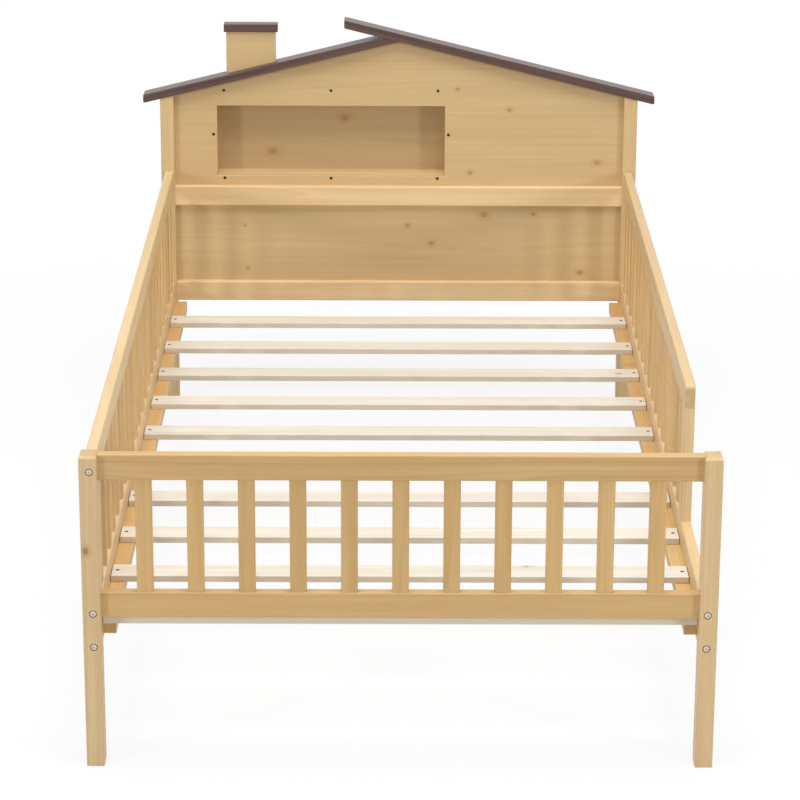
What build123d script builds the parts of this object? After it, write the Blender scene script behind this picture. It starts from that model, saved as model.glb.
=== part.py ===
from build123d import *
import math
import os

# A child's twin bed with a house-shaped headboard, slatted base, spindle footboard and guard rails.
# All sizes are in millimetres. +X is to the right and +Y runs from the foot to the head. +Z is up.
# The origin is on the floor, below the middle of the box that holds the whole bed.

# Posts
bed_width = 1060.0  # over the outer faces of the posts
side_length = 1903.0  # clear length between the foot and head posts
post_width = 30.0
post_depth = 42.0
post_edge_radius = 3.0
post_top_radius = 6.0
foot_post_height = 555.0

# Footboard
foot_rail_height = 45.0
foot_rail_thickness = 20.0
foot_rail_above_slats = 7.0
rail_edge_radius = 3.0

# Spindles
spindle_width = 28.0
spindle_thickness = 14.0
spindle_edge_radius = 2.5
spindle_largest_gap = 58.0  # a child's head and limbs can't pass
foot_end_gap = 60.5  # between a foot post and the spindle next to it
spindle_mortise_depth = 10.0

# Side frames
side_frame_thickness = 19.0
side_frame_inset = 8.0  # from the posts' outer faces
side_rail_height = 90.0
side_rail_bottom = 202.0
guard_rail_height = 45.0
guard_drop = 5.0  # from the top of the foot posts down to the top of the guards
entry_width = 368.0  # open stretch of the right side, next to the foot post
end_post_depth = 45.0
guard_end_radius = 12.0

# Slatted base
slat_count = 10
slat_width = 54.0
slat_thickness = 12.0
slat_edge_radius = 1.5
slat_end_play = 1.5
last_slat_from_foot = 57.0  # from the front of the foot posts to the slat's middle
first_slat_from_head = 178.0  # from the slat's middle to the front of the head posts
ledger_width = 25.0
ledger_height = 22.0
ledger_above_rail_bottom = 24.0

# Headboard frame and panels
head_rail_height = 45.0
head_rail_thickness = 30.0
head_rail_inset = 4.0  # from the front faces of the head posts
head_bottom_rail_bottom = 250.0
head_mid_rail_bottom = 471.0
panel_thickness = 12.0
panel_setback = 13.0  # from the front faces of the head rails
panel_groove_depth = 8.0
panel_end_play = 0.5

# Niche: a window in the house panel that opens into a shallow box
window_width = 508.0
window_center_x = -151.0
window_edge_radius = 1.5
sill_above_rail = 22.0  # from the top of the mid rail up to the window's sill
ceiling_above_window = 29.0  # the strip of panel that hides the top of the niche
niche_depth = 65.0  # from the front of the panel to the back board
niche_roof_gap = 4.5  # between the niche's highest corner and the roof
niche_side_thickness = 16.0
niche_shelf_thickness = 12.0
niche_back_thickness = 6.0

# Roof
roof_slope = 13.8  # degrees
roof_underside_at_apex = 846.0
roof_thickness = 18.0
roof_front_overhang = 3.0
roof_side_overhang = 37.0  # from the posts to the end of each eave
roof_cross_over = 121.0  # how far the right board passes over the apex
roof_edge_radius = 1.5
roof_end_radius = 3.5

# Chimney
chimney_width = 109.0
chimney_thickness = 18.0
chimney_center_x = -327.5
chimney_setback = 19.0  # from the front edge of the roof
chimney_height = 80.0  # above the roof, at the chimney's middle
chimney_edge_radius = 1.0
cap_overhang = 5.0
cap_thickness = 18.0
cap_edge_radius = 1.5

# Bolts and barrel nuts
bolt_diameter = 6.0
bolt_head_diameter = 10.0
bolt_head_height = 5.0
bolt_head_recess = 1.0
bolt_head_edge = 0.6
bolt_socket_width = 5.0
bolt_socket_depth = 3.0
bolt_tip_past_nut = 8.0
counterbore_clearance = 1.8  # round a bolt's head
nut_diameter = 10.0
nut_length = 14.0
nut_from_joint = 30.0
nut_slot_width = 1.4
nut_slot_depth = 1.2
side_bolt_spacing = 60.0

# Wood screws
screw_diameter = 3.5
screw_head_diameter = 7.0
screw_head_height = 2.4
screw_drive_width = 0.9
screw_drive_length = 3.6
screw_drive_depth = 1.4
slat_screw_length = 30.0
slat_screw_from_rail = 10.5  # from the inner face of the side rail
ledger_screw_length = 38.0
ledger_screw_count = 5
niche_screw_length = 35.0
niche_back_screw_length = 25.0
niche_screw_from_corner = 16.0

# Dowels
dowel_diameter = 8.0
dowel_to_bolt = 1.9  # wood left between a dowel's end and a bolt's hole
dowel_in_rail = 22.0
dowel_spacing = 28.0
end_post_dowel_spacing = 20.0
end_post_dowel_depth = 15.0
thin_dowel_diameter = 6.0
roof_dowel_depth = 8.5
post_roof_dowel_from_outside = 12.0
roof_dowel_from_apex = 170.0
roof_dowel_spacing = 150.0
chimney_dowel_depth = 7.5
chimney_dowel_spacing = 60.0

# Fits
pin_clearance = 0.1  # round a bolt, screw, nut or dowel in its hole
joint_clearance = 0.1  # on each side of a spindle in its mortise or a panel in its groove

# Stations along the bed, worked out from the sizes above
panel_front_from_head = head_rail_inset + panel_setback
bed_length = post_depth + side_length + panel_front_from_head + niche_depth + niche_back_thickness
foot_front = -bed_length / 2
foot_back = foot_front + post_depth
head_front = foot_back + side_length
head_back = head_front + post_depth
panel_front = head_front + panel_front_from_head
panel_back = panel_front + panel_thickness
niche_back_front = panel_front + niche_depth
niche_back_back = niche_back_front + niche_back_thickness

# Stations across the bed
post_outer = bed_width / 2
post_inner = post_outer - post_width
frame_outer = post_outer - side_frame_inset
frame_inner = frame_outer - side_frame_thickness
frame_center = (frame_outer + frame_inner) / 2
ledger_inner = frame_inner - ledger_width
window_left = window_center_x - window_width / 2
window_right = window_center_x + window_width / 2

# Stations up the bed
side_rail_top = side_rail_bottom + side_rail_height
guard_top = foot_post_height - guard_drop
guard_rail_bottom = guard_top - guard_rail_height
ledger_bottom = side_rail_bottom + ledger_above_rail_bottom
slat_bottom = ledger_bottom + ledger_height
slat_top = slat_bottom + slat_thickness
foot_top_rail_bottom = foot_post_height - foot_rail_height
foot_bottom_rail_bottom = slat_top + foot_rail_above_slats
foot_bottom_rail_top = foot_bottom_rail_bottom + foot_rail_height
head_bottom_rail_top = head_bottom_rail_bottom + head_rail_height
head_mid_rail_top = head_mid_rail_bottom + head_rail_height

# Stations of the roof
slope = math.radians(roof_slope)
roof_half_span = post_outer + roof_side_overhang
roof_depth = post_depth + roof_front_overhang
roof_front = head_front - roof_front_overhang
roof_middle = roof_front + roof_depth / 2
chimney_middle = roof_front + chimney_setback + chimney_thickness / 2
foot_rail_middle = foot_front + post_depth / 2
foot_rail_front = foot_rail_middle - foot_rail_thickness / 2
foot_rail_back = foot_rail_middle + foot_rail_thickness / 2
head_rail_front = head_front + head_rail_inset
head_rail_back = head_rail_front + head_rail_thickness
panel_middle = panel_front + panel_thickness / 2
end_post_front = foot_back + entry_width
end_post_back = end_post_front + end_post_depth


def roof_underside(x):
    """Height of the roof's underside at a station across the bed."""
    return roof_underside_at_apex - abs(x) * math.tan(slope)


def roof_surface(x):
    """Height of the roof's upper face on a slope."""
    return roof_underside(x) + roof_thickness / math.cos(slope)


# The niche reaches up to the roof, and the window stops short of its ceiling
niche_left = window_left - niche_side_thickness
niche_right = window_right + niche_side_thickness
niche_top = min(roof_underside(niche_left), roof_underside(niche_right)) - niche_roof_gap
niche_ceiling = niche_top - niche_shelf_thickness
window_sill = head_mid_rail_top + sill_above_rail
window_top = niche_ceiling - ceiling_above_window
niche_bottom = window_sill - niche_shelf_thickness
chimney_top = roof_surface(chimney_center_x) + chimney_height


def block(x, y, z):
    """A box between the low and high value given for each axis."""
    center = Pos((x[0] + x[1]) / 2, (y[0] + y[1]) / 2, (z[0] + z[1]) / 2)
    return center * Box(x[1] - x[0], y[1] - y[0], z[1] - z[0])


def eased(solid, axis, radius):
    """Rounds the edges that run along an axis."""
    return fillet(solid.edges().filter_by(axis), radius)


def side_span(side, near, far):
    """Low and high x of a piece on the left (-1) or right (+1) side."""
    return sorted((side * near, side * far))


def extruded(points, y):
    """A board whose outline lies in XZ, extruded between two stations along the bed."""
    outline = make_face(Plane.XZ * Polyline(*points, close=True))
    return Pos(0, (y[0] + y[1]) / 2, 0) * extrude(outline, (y[1] - y[0]) / 2, both=True)


def cut(solid, tools):
    """Cuts every tool away from a solid."""
    return solid.cut(*tools) if tools else solid


# Pins: each is made along +Z with its outer end at the origin, then set where it belongs
def set_at(shape, point, direction):
    """Sets a shape that was made along +Z at a point, along a direction."""
    return Plane(origin=point, z_dir=direction).location * shape


def rod(diameter, length):
    return Pos(0, 0, length / 2) * Cylinder(diameter / 2, length)


def wood_screw(length):
    """A countersunk screw, with a cross recess in its head."""
    shank = rod(screw_diameter, length)
    head = Pos(0, 0, screw_head_height / 2) * Cone(
        screw_head_diameter / 2, screw_diameter / 2, screw_head_height
    )
    drive_a = Box(screw_drive_length, screw_drive_width, 2 * screw_drive_depth)
    drive_b = Box(screw_drive_width, screw_drive_length, 2 * screw_drive_depth)
    return (shank + head) - (drive_a + drive_b)


def screw_hole(length):
    """The hole of a wood screw, with its countersink."""
    shank = rod(screw_diameter + 2 * pin_clearance, length)
    head = Pos(0, 0, screw_head_height / 2) * Cone(
        screw_head_diameter / 2 + pin_clearance,
        screw_diameter / 2 + pin_clearance,
        screw_head_height,
    )
    return shank + head


def bolt(length):
    """A cap bolt with a hexagon socket, its head just below the face of the post."""
    head = rod(bolt_head_diameter, bolt_head_height)
    head = chamfer(head.edges().sort_by(Axis.Z)[0], bolt_head_edge)
    socket = extrude(RegularPolygon(bolt_socket_width / 2, 6, major_radius=False), bolt_socket_depth)
    shank = Pos(0, 0, bolt_head_height) * rod(bolt_diameter, length)
    return Pos(0, 0, bolt_head_recess) * (head + shank - socket)


def bolt_hole(length):
    """The hole of a bolt, with the counterbore for its head."""
    counterbore = rod(bolt_head_diameter + 2 * counterbore_clearance, bolt_head_recess + bolt_head_height)
    shank = rod(bolt_diameter + 2 * pin_clearance, bolt_head_recess + bolt_head_height + length)
    return shank + counterbore


def barrel_nut():
    """A cross dowel. Its thread bore runs along X and its slotted end is at the origin."""
    body = rod(nut_diameter, nut_length)
    bore = Pos(0, 0, nut_length / 2) * Rot(0, 90, 0) * Cylinder(
        bolt_diameter / 2 + pin_clearance, 2 * nut_diameter
    )
    slot = Box(nut_slot_width, 2 * nut_diameter, 2 * nut_slot_depth)
    return body - bore - slot


# Each joint is a list of (point, direction) pairs, shared by the pins and by their holes
bolt_length = post_depth - bolt_head_recess - bolt_head_height + nut_from_joint + bolt_tip_past_nut
side_bolt_middle = side_rail_bottom + side_rail_height / 2
side_bolt_heights = [side_bolt_middle - side_bolt_spacing / 2, side_bolt_middle + side_bolt_spacing / 2]
guard_bolt_height = guard_rail_bottom + guard_rail_height / 2


def bolts_through(side, at_head, with_guard):
    """Where the bolts of one post start, and which way they run."""
    heights = side_bolt_heights + ([guard_bolt_height] if with_guard else [])
    start = head_back if at_head else foot_front
    run = (0, -1, 0) if at_head else (0, 1, 0)
    return [((side * frame_center, start, z), run) for z in heights]


bolt_sets = {
    ("foot", -1): bolts_through(-1, False, True),
    ("foot", 1): bolts_through(1, False, False),
    ("head", -1): bolts_through(-1, True, True),
    ("head", 1): bolts_through(1, True, True),
}


def nuts_of(bolts):
    """The barrel nuts of some bolts. Each is pushed in from the inner face of the side frame."""
    nuts = []
    for (x, y, z), run in bolts:
        side = math.copysign(1, x)
        joint = foot_back if run[1] > 0 else head_front
        start = x - side * nut_length / 2
        nuts.append(((start, joint + run[1] * nut_from_joint, z), (side, 0, 0)))
    return nuts


def nut_hole(nut):
    """The hole of a barrel nut, open to the inner face of the side frame."""
    (x, y, z), run = nut
    depth = abs(x) + nut_length - frame_inner
    hole = rod(nut_diameter + 2 * pin_clearance, depth)
    return set_at(hole, (run[0] * frame_inner, y, z), run)


def side_frame_holes(side, with_guard):
    """Bolt and nut holes in the side rail, or in the guard's top rail."""
    holes = []
    for end in ("foot", "head"):
        bolts = [b for b in bolt_sets[end, side] if (b[0][2] == guard_bolt_height) == with_guard]
        holes += [set_at(bolt_hole(bolt_length), *b) for b in bolts]
        holes += [nut_hole(n) for n in nuts_of(bolts)]
    return holes


dowel_in_post = frame_center - bolt_diameter / 2 - pin_clearance - dowel_to_bolt - post_inner


def rail_dowels(y, middle_z):
    """Two dowels at each end of a cross rail, as (point, direction) pairs from inside the post."""
    places = []
    for side in (-1, 1):
        for lift in (-dowel_spacing / 2, dowel_spacing / 2):
            places.append(((side * (post_inner + dowel_in_post), y, middle_z + lift), (-side, 0, 0)))
    return places


head_dowel_y = head_rail_front + panel_setback / 2
dowel_sets = {
    "foot_top": rail_dowels(foot_rail_middle, foot_top_rail_bottom + foot_rail_height / 2),
    "foot_bottom": rail_dowels(foot_rail_middle, foot_bottom_rail_bottom + foot_rail_height / 2),
    "head_mid": rail_dowels(head_dowel_y, head_mid_rail_bottom + head_rail_height / 2),
    "head_bottom": rail_dowels(head_dowel_y, head_bottom_rail_bottom + head_rail_height / 2),
}
rail_dowel_length = dowel_in_post + dowel_in_rail


def dowel_holes(*names):
    hole = rod(dowel_diameter + 2 * pin_clearance, rail_dowel_length)
    return [set_at(hole, *place) for name in names for place in dowel_sets[name]]


# Posts
def foot_post(side):
    """A foot post, rounded on its long edges and round its top."""
    post = block(side_span(side, post_inner, post_outer), (foot_front, foot_back), (0, foot_post_height))
    dome = fillet(post.faces().sort_by(Axis.Z)[-1].edges(), post_top_radius)
    post = eased(post, Axis.Z, post_edge_radius) & dome
    bolts = [set_at(bolt_hole(bolt_length), *b) for b in bolt_sets["foot", side]]
    return cut(post, bolts + dowel_holes("foot_top", "foot_bottom"))


def head_post(side):
    """A head post, cut to the slope of the roof and grooved for the two panels."""
    corners = [(side * post_inner, 0), (side * post_outer, 0)]
    corners += [(x, roof_underside(x)) for x in (side * post_outer, side * post_inner)]
    post = extruded(corners, (head_front, head_back))
    post = eased(post, Axis.Z, post_edge_radius)
    groove = block(
        side_span(side, post_inner - panel_groove_depth, post_inner + panel_groove_depth),
        (panel_front - joint_clearance, panel_back + joint_clearance),
        (head_bottom_rail_top - panel_groove_depth, roof_underside_at_apex),
    )
    bolts = [set_at(bolt_hole(bolt_length), *b) for b in bolt_sets["head", side]]
    pins = [set_at(roof_pin_hole(dowel_diameter), *p) for p in post_roof_dowels]
    return cut(post, [groove] + bolts + pins + dowel_holes("head_mid", "head_bottom"))


# Spindles: they stand in a row with equal gaps, none wider than the largest gap
def guard_spindle_stations(low, high):
    """Middles of the spindles that fill the span between two faces."""
    count = math.ceil((high - low - spindle_largest_gap) / (spindle_width + spindle_largest_gap))
    gap = (high - low - count * spindle_width) / (count + 1)
    return [low + gap + spindle_width / 2 + i * (spindle_width + gap) for i in range(count)]


def foot_spindle_stations():
    """Middles of the spindles between the foot posts, with the set gap at each end."""
    last = post_inner - foot_end_gap - spindle_width / 2
    gaps = math.ceil(2 * last / (spindle_width + spindle_largest_gap))
    return [-last + i * 2 * last / gaps for i in range(gaps + 1)]


foot_stations = foot_spindle_stations()
left_stations = guard_spindle_stations(foot_back, head_front)
right_stations = guard_spindle_stations(end_post_back, head_front)


def upright(across, along, z, grow):
    """A spindle between two heights, or its mortise where it grows by the joint clearance."""
    x = (across[0] - grow, across[1] + grow)
    y = (along[0] - grow, along[1] + grow)
    return block(x, y, z)


def foot_upright(x, z, grow=0.0):
    across = (x - spindle_width / 2, x + spindle_width / 2)
    along = (foot_rail_middle - spindle_thickness / 2, foot_rail_middle + spindle_thickness / 2)
    return upright(across, along, z, grow)


def guard_upright(side, y, z, grow=0.0):
    middle = side * frame_center
    across = (middle - spindle_thickness / 2, middle + spindle_thickness / 2)
    return upright(across, (y - spindle_width / 2, y + spindle_width / 2), z, grow)


foot_spindle_z = (foot_bottom_rail_top - spindle_mortise_depth, foot_top_rail_bottom + spindle_mortise_depth)
guard_spindle_z = (side_rail_top - spindle_mortise_depth, guard_rail_bottom + spindle_mortise_depth)


def foot_spindle(x):
    return eased(foot_upright(x, foot_spindle_z), Axis.Z, spindle_edge_radius)


def foot_mortises():
    return [foot_upright(x, foot_spindle_z, joint_clearance) for x in foot_stations]


def guard_spindles(side, stations):
    return [eased(guard_upright(side, y, guard_spindle_z), Axis.Z, spindle_edge_radius) for y in stations]


def guard_mortises(side, stations):
    return [guard_upright(side, y, guard_spindle_z, joint_clearance) for y in stations]


# Footboard rails
def foot_rail(bottom, dowels):
    rail = block(
        (-post_inner, post_inner), (foot_rail_front, foot_rail_back), (bottom, bottom + foot_rail_height)
    )
    rail = eased(rail, Axis.X, rail_edge_radius)
    return cut(rail, foot_mortises() + dowel_holes(dowels))


# Side frames
end_post_dowel_y = [end_post_front + end_post_depth / 2 + s * end_post_dowel_spacing / 2 for s in (-1, 1)]
end_post_dowels = [
    ((frame_center, y, z - end_post_dowel_depth), (0, 0, 1))
    for y in end_post_dowel_y
    for z in (side_rail_top, guard_rail_bottom)
]


def end_post_dowel_holes():
    hole = rod(dowel_diameter + 2 * pin_clearance, 2 * end_post_dowel_depth)
    return [set_at(hole, *p) for p in end_post_dowels]


last_slat = foot_front + last_slat_from_foot
slat_pitch = (head_front - first_slat_from_head - last_slat) / (slat_count - 1)
slat_stations = [last_slat + i * slat_pitch for i in range(slat_count)]


def ledger_screws(side):
    """Screws through a ledger into its side rail, each half way between two slats."""
    z = ledger_bottom + ledger_height / 2
    gaps = [round(i * (slat_count - 2) / (ledger_screw_count - 1)) for i in range(ledger_screw_count)]
    return [((side * ledger_inner, slat_stations[i] + slat_pitch / 2, z), (side, 0, 0)) for i in gaps]


def slat_screws(y):
    x = frame_inner - slat_screw_from_rail
    return [((side * x, y, slat_top), (0, 0, -1)) for side in (-1, 1)]


all_slat_screws = [place for y in slat_stations for place in slat_screws(y)]


def side_rail(side, stations):
    """The long bearing rail of one side, with the mortises of its spindles."""
    rail = block(
        side_span(side, frame_inner, frame_outer), (foot_back, head_front), (side_rail_bottom, side_rail_top)
    )
    rail = eased(rail, Axis.Y, rail_edge_radius)
    holes = side_frame_holes(side, False) + guard_mortises(side, stations)
    holes += [set_at(screw_hole(ledger_screw_length), *p) for p in ledger_screws(side)]
    if side > 0:
        holes += end_post_dowel_holes()
    return cut(rail, holes)


def slat_ledger(side):
    """The bar on the inner face of a side rail that the slats lie on."""
    ledger = block(
        side_span(side, ledger_inner, frame_inner), (foot_back, head_front), (ledger_bottom, slat_bottom)
    )
    holes = [set_at(screw_hole(ledger_screw_length), *p) for p in ledger_screws(side)]
    holes += [set_at(screw_hole(slat_screw_length), *p) for p in all_slat_screws]
    return cut(ledger, holes)


def left_guard_top_rail():
    rail = block(
        side_span(-1, frame_inner, frame_outer), (foot_back, head_front), (guard_rail_bottom, guard_top)
    )
    rail = eased(rail, Axis.Y, rail_edge_radius)
    return cut(rail, side_frame_holes(-1, True) + guard_mortises(-1, left_stations))


def right_guard_top_rail():
    """The shorter guard's top rail, rounded where it ends over the entry."""
    rail = block(
        (frame_inner, frame_outer), (end_post_front, head_front), (guard_rail_bottom, guard_top)
    )
    nose = rail.edges().filter_by(Axis.X).group_by(Axis.Z)[-1].sort_by(Axis.Y)[0]
    rail = fillet(nose, guard_end_radius)
    outline = rail.edges().filter_by(lambda e: (e @ 0).X == (e @ 1).X)
    outline = outline.filter_by(lambda e: abs((e @ 0.5).Y - head_front) > rail_edge_radius)
    outline = outline.filter_by(lambda e: abs((e @ 0.5).Z - guard_rail_bottom) > rail_edge_radius)
    rail = fillet(outline, rail_edge_radius)
    return cut(rail, side_frame_holes(1, True) + guard_mortises(1, right_stations) + end_post_dowel_holes())


def right_guard_end_post():
    post = block(
        (frame_inner, frame_outer), (end_post_front, end_post_back), (side_rail_top, guard_rail_bottom)
    )
    return cut(eased(post, Axis.Z, rail_edge_radius), end_post_dowel_holes())


# Slatted base
def slat(y):
    """A slat between the side rails, or between the foot posts where it lies next to them."""
    reach = (post_inner if y - slat_width / 2 < foot_back else frame_inner) - slat_end_play
    board = block((-reach, reach), (y - slat_width / 2, y + slat_width / 2), (slat_bottom, slat_top))
    board = eased(board, Axis.X, slat_edge_radius)
    return cut(board, [set_at(screw_hole(slat_screw_length), *p) for p in slat_screws(y)])


# Headboard rails and panels
def panel_groove(z):
    """The groove along a head rail for the edge of a panel."""
    return block(
        (-post_inner, post_inner), (panel_front - joint_clearance, panel_back + joint_clearance), z
    )


def head_rail(bottom, dowels, grooves):
    rail = block(
        (-post_inner, post_inner), (head_rail_front, head_rail_back), (bottom, bottom + head_rail_height)
    )
    rail = eased(rail, Axis.X, rail_edge_radius)
    return cut(rail, [panel_groove(z) for z in grooves] + dowel_holes(dowels))


def niche_screws():
    """Screws from the front of the panel into the boards round the niche."""
    shelf_x = [window_left + niche_screw_from_corner, window_center_x, window_right - niche_screw_from_corner]
    shelf_z = [niche_bottom + niche_shelf_thickness / 2, niche_top - niche_shelf_thickness / 2]
    side_x = [(niche_left + window_left) / 2, (window_right + niche_right) / 2]
    places = [(x, z) for z in shelf_z for x in shelf_x]
    return places + [(x, (niche_bottom + niche_top) / 2) for x in side_x]


front_niche_screws = [((x, panel_front, z), (0, 1, 0)) for x, z in niche_screws()]
back_niche_screws = [((x, niche_back_back, z), (0, -1, 0)) for x, z in niche_screws()]


def niche_screw_holes():
    holes = [set_at(screw_hole(niche_screw_length), *p) for p in front_niche_screws]
    return holes + [set_at(screw_hole(niche_back_screw_length), *p) for p in back_niche_screws]


# The roof's dowels stand square to its slopes. Each is given by its lower end and its direction
def roof_dowel(x, y):
    side = math.copysign(1, x)
    run = (side * math.sin(slope), 0, math.cos(slope))
    start = (x - roof_dowel_depth * run[0], y, roof_underside(x) - roof_dowel_depth * run[2])
    return start, run


def roof_pin_hole(diameter):
    return rod(diameter + 2 * pin_clearance, 2 * roof_dowel_depth)


post_roof_dowels = [
    roof_dowel(side * (post_outer - post_roof_dowel_from_outside), roof_middle) for side in (-1, 1)
]
panel_roof_dowels = [
    roof_dowel(side * (roof_dowel_from_apex + i * roof_dowel_spacing), panel_middle)
    for side in (-1, 1)
    for i in range(2)
]


def house_panel():
    """The upper panel, cut to the slopes of the roof, with the window of the niche."""
    reach = post_inner + panel_groove_depth - panel_end_play
    bottom = head_mid_rail_top - panel_groove_depth
    corners = [(-reach, bottom), (reach, bottom), (reach, roof_underside(reach))]
    corners += [(0, roof_underside_at_apex), (-reach, roof_underside(-reach))]
    panel = extruded(corners, (panel_front, panel_back))
    window = block(
        (window_left, window_right),
        (panel_front - panel_thickness, panel_back + panel_thickness),
        (window_sill, window_top),
    )
    panel = panel - window
    rim = panel.faces().sort_by(Axis.Y)[0].inner_wires()[0].edges()
    panel = fillet(rim, window_edge_radius)
    pins = [set_at(roof_pin_hole(thin_dowel_diameter), *p) for p in panel_roof_dowels]
    return cut(panel, niche_screw_holes() + pins)


def lower_panel():
    reach = post_inner + panel_groove_depth - panel_end_play
    low = head_bottom_rail_top - panel_groove_depth
    high = head_mid_rail_bottom + panel_groove_depth
    return block((-reach, reach), (panel_front, panel_back), (low, high))


# Niche boards
def niche_board(x, z):
    board = block(x, (panel_back, niche_back_front), z)
    return cut(board, niche_screw_holes())


def niche_side(side):
    x = (window_right, niche_right) if side > 0 else (niche_left, window_left)
    return niche_board(x, (niche_bottom, niche_top))


def niche_shelf(z):
    return niche_board((window_left, window_right), z)


def niche_back():
    back = block((niche_left, niche_right), (niche_back_front, niche_back_back), (niche_bottom, niche_top))
    return cut(back, [set_at(screw_hole(niche_back_screw_length), *p) for p in back_niche_screws])


# Roof boards
def slope_underside(side, x):
    """Height of the underside of the left (-1) or right (+1) slope, also past the apex."""
    return roof_underside_at_apex - side * x * math.tan(slope)


def roof_board(side, start, end):
    """A board on one slope between two stations across the bed. Its ends are plumb and rounded."""
    low = [(x, slope_underside(side, x)) for x in (start, end)]
    high = [(x, z + roof_thickness / math.cos(slope)) for x, z in reversed(low)]
    board = extruded(low + high, (roof_front, roof_front + roof_depth))
    board = eased(board, Axis.Y, roof_end_radius)
    faces = board.faces().sort_by(Axis.Y)
    return fillet(faces[0].edges() + faces[-1].edges(), roof_edge_radius)


def roof_holes():
    holes = [set_at(roof_pin_hole(dowel_diameter), *p) for p in post_roof_dowels]
    holes += [set_at(roof_pin_hole(thin_dowel_diameter), *p) for p in panel_roof_dowels]
    return holes + [set_at(chimney_pin_hole(), *p) for p in chimney_foot_dowels]


def roof_board_right():
    """The long board. Its upper end passes over the apex."""
    return cut(roof_board(1, -roof_cross_over, roof_half_span), roof_holes())


def roof_board_left():
    """The board whose upper end is bevelled to butt under the right board."""
    board = roof_board(-1, -roof_half_span, roof_thickness)
    low = [(x, slope_underside(1, x)) for x in (-roof_half_span, roof_half_span)]
    high = [(x, z + roof_half_span) for x, z in reversed(low)]
    above = extruded(low + high, (roof_front - roof_depth, roof_front + 2 * roof_depth))
    return cut(board, [above] + roof_holes())


# Chimney
chimney_pin_x = [chimney_center_x + s * chimney_dowel_spacing / 2 for s in (-1, 1)]
chimney_foot_dowels = [
    ((x, chimney_middle, roof_surface(x) - chimney_dowel_depth), (0, 0, 1)) for x in chimney_pin_x
]
chimney_cap_dowels = [
    ((x, chimney_middle, chimney_top - chimney_dowel_depth), (0, 0, 1)) for x in chimney_pin_x
]


def chimney_pin_hole():
    return rod(dowel_diameter + 2 * pin_clearance, 2 * chimney_dowel_depth)


def chimney_board():
    """The chimney's board, cut to the slope that it stands on."""
    ends = (chimney_center_x - chimney_width / 2, chimney_center_x + chimney_width / 2)
    corners = [(ends[0], roof_surface(ends[0])), (ends[1], roof_surface(ends[1]))]
    corners += [(ends[1], chimney_top), (ends[0], chimney_top)]
    faces = (chimney_middle - chimney_thickness / 2, chimney_middle + chimney_thickness / 2)
    board = eased(extruded(corners, faces), Axis.Z, chimney_edge_radius)
    return cut(board, [set_at(chimney_pin_hole(), *p) for p in chimney_foot_dowels + chimney_cap_dowels])


def chimney_cap():
    reach_x = chimney_width / 2 + cap_overhang
    reach_y = chimney_thickness / 2 + cap_overhang
    cap = block(
        (chimney_center_x - reach_x, chimney_center_x + reach_x),
        (chimney_middle - reach_y, chimney_middle + reach_y),
        (chimney_top, chimney_top + cap_thickness),
    )
    cap = fillet(cap.edges(), cap_edge_radius)
    return cut(cap, [set_at(chimney_pin_hole(), *p) for p in chimney_cap_dowels])


# Fasteners
def pins(shape, places):
    """Copies of one fastener, as separate solids."""
    return [set_at(shape, *place) for place in places]


def all_bolts(end):
    return pins(bolt(bolt_length), bolt_sets[end, -1] + bolt_sets[end, 1])


def all_nuts():
    places = [nut for bolts in bolt_sets.values() for nut in nuts_of(bolts)]
    nuts = []
    for point, run in places:
        frame = Plane(origin=point, x_dir=(0, 1, 0), z_dir=run)
        nuts.append(frame.location * barrel_nut())
    return nuts


def all_frame_dowels():
    places = [place for dowels in dowel_sets.values() for place in dowels]
    long_dowels = pins(rod(dowel_diameter, rail_dowel_length), places)
    return long_dowels + pins(rod(dowel_diameter, 2 * end_post_dowel_depth), end_post_dowels)


def all_roof_dowels():
    thick = pins(rod(dowel_diameter, 2 * roof_dowel_depth), post_roof_dowels)
    return thick + pins(rod(thin_dowel_diameter, 2 * roof_dowel_depth), panel_roof_dowels)


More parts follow.
